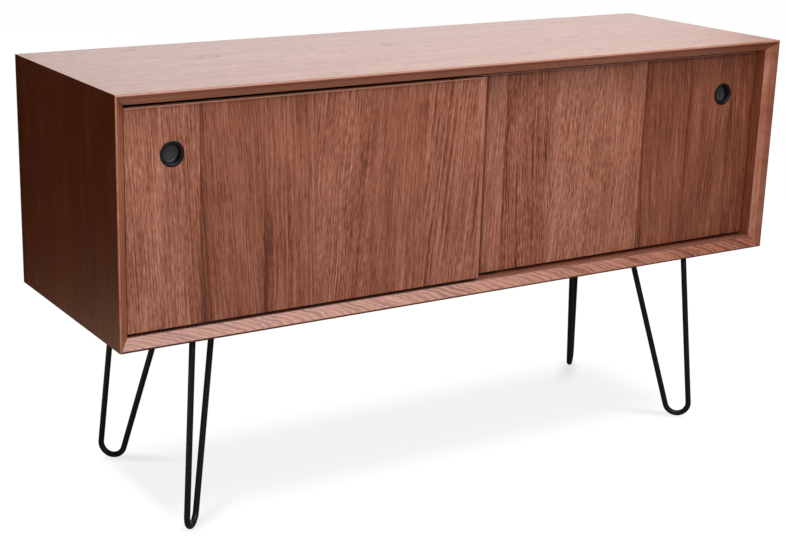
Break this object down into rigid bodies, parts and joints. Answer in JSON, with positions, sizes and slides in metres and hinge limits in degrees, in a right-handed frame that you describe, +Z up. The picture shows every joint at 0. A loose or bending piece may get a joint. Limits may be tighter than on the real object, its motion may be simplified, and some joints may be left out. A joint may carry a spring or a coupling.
{
  "type": "media console cabinet",
  "caption": "Low wooden media console: mitred, bevelled box with by-pass sliding doors, round recessed pulls, inner shelves and black hairpin legs.",
  "frame": {"origin": "on the floor, under the middle of the cabinet's footprint", "axes": "+X to the right as seen from the front, along the length; -Y out of the front; +Z up"},
  "size_m": [1.2, 0.38, 0.664],
  "materials": {
    "carcass_veneer": "red-brown stained ash veneer, satin lacquer, open grain along each board",
    "door_veneer": "red-brown stained ash veneer in vertical leaves, satin lacquer, open grain",
    "inner_veneer": "red-brown stained ash veneer, matt lacquer",
    "back_board": "stained plywood, matt",
    "black_steel": "black powder coat, satin",
    "black_screw": "black zinc, satin",
    "black_plastic": "moulded black, fine matt",
    "brown_plastic": "extruded red-brown, satin",
    "nickel": "nickel plated, satin",
    "felt": "pressed brown felt"
  },
  "bodies": {
    "cabinet": {"top_panel": "carcass_veneer", "bottom_panel": "carcass_veneer", "left_side_panel": "carcass_veneer", "right_side_panel": "carcass_veneer", "back_panel": "back_board", "left_cable_grommet": "black_plastic", "right_cable_grommet": "black_plastic", "centre_divider": "inner_veneer", "left_shelf": "inner_veneer", "right_shelf": "inner_veneer", "left_shelf_pin_outer_front": "nickel", "left_shelf_pin_outer_rear": "nickel", "left_shelf_pin_inner_front": "nickel", "left_shelf_pin_inner_rear": "nickel", "right_shelf_pin_outer_front": "nickel", "right_shelf_pin_outer_rear": "nickel", "right_shelf_pin_inner_front": "nickel", "right_shelf_pin_inner_rear": "nickel", "front_lower_track": "brown_plastic", "rear_lower_track": "brown_plastic", "front_left_leg_rod": "black_steel", "front_right_leg_rod": "black_steel", "back_left_leg_rod": "black_steel", "back_right_leg_rod": "black_steel", "front_left_leg_plate": "black_steel", "front_right_leg_plate": "black_steel", "back_left_leg_plate": "black_steel", "back_right_leg_plate": "black_steel", "front_left_leg_screw_1": "black_screw", "front_left_leg_screw_2": "black_screw", "front_left_leg_screw_3": "black_screw", "front_left_leg_screw_4": "black_screw", "front_right_leg_screw_1": "black_screw", "front_right_leg_screw_2": "black_screw", "front_right_leg_screw_3": "black_screw", "front_right_leg_screw_4": "black_screw", "back_left_leg_screw_1": "black_screw", "back_left_leg_screw_2": "black_screw", "back_left_leg_screw_3": "black_screw", "back_left_leg_screw_4": "black_screw", "back_right_leg_screw_1": "black_screw", "back_right_leg_screw_2": "black_screw", "back_right_leg_screw_3": "black_screw", "back_right_leg_screw_4": "black_screw"},
    "front_sliding_door": {"front_door": "door_veneer", "front_door_pull": "black_plastic", "front_door_glide_left": "black_plastic", "front_door_glide_right": "black_plastic", "front_door_guide_left": "black_plastic", "front_door_guide_right": "black_plastic", "front_door_pad_lower": "felt", "front_door_pad_upper": "felt"},
    "rear_sliding_door": {"rear_door": "door_veneer", "rear_door_pull": "black_plastic", "rear_door_glide_left": "black_plastic", "rear_door_glide_right": "black_plastic", "rear_door_guide_left": "black_plastic", "rear_door_guide_right": "black_plastic", "rear_door_pad_lower": "felt", "rear_door_pad_upper": "felt"}
  },
  "joints": [
    {"name": "front_door_slide", "type": "slide", "parent": "cabinet", "child": "front_sliding_door", "axis": [1, 0, 0], "range_m": [0, 0.572]},
    {"name": "rear_door_slide", "type": "slide", "parent": "cabinet", "child": "rear_sliding_door", "axis": [1, 0, 0], "range_m": [-0.572, 0]}
  ]
}
